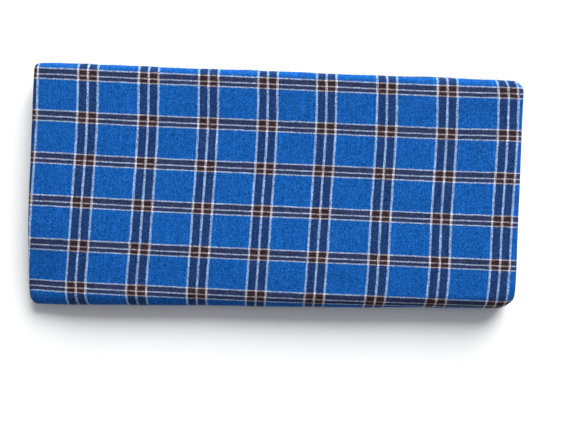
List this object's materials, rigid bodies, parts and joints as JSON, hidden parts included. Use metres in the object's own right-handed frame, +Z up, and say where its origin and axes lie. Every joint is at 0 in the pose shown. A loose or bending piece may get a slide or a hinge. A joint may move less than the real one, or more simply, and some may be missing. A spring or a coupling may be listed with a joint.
{
  "type": "folded lungi",
  "caption": "Checked cotton lungi, a cloth worn wrapped round the waist, folded flat into a long packet with a rolled front fold, layered ends and smaller folds behind.",
  "frame": {"origin": "on the resting plane, under the middle of the packet", "axes": "+X along the packet to its right end, +Y from the front roll to the back folds, +Z up"},
  "size_m": [0.3023, 0.1504, 0.018],
  "materials": {
    "outer_cloth": "matt plain-weave cotton, royal blue ground with a windowpane check of navy bands edged in white",
    "inner_cloth": "the same cotton, seen edge on as a stack of folded plies",
    "cut_end_cloth": "the same cotton at its cut ends, with short loose threads"
  },
  "bodies": {
    "root": {"top_stretch": "outer_cloth", "front_roll": "outer_cloth", "under_stretch": "outer_cloth", "cut_end_upper": "cut_end_cloth", "cut_end_lower": "cut_end_cloth", "first_fold": "inner_cloth", "inner_layers": "inner_cloth"}
  },
  "joints": []
}
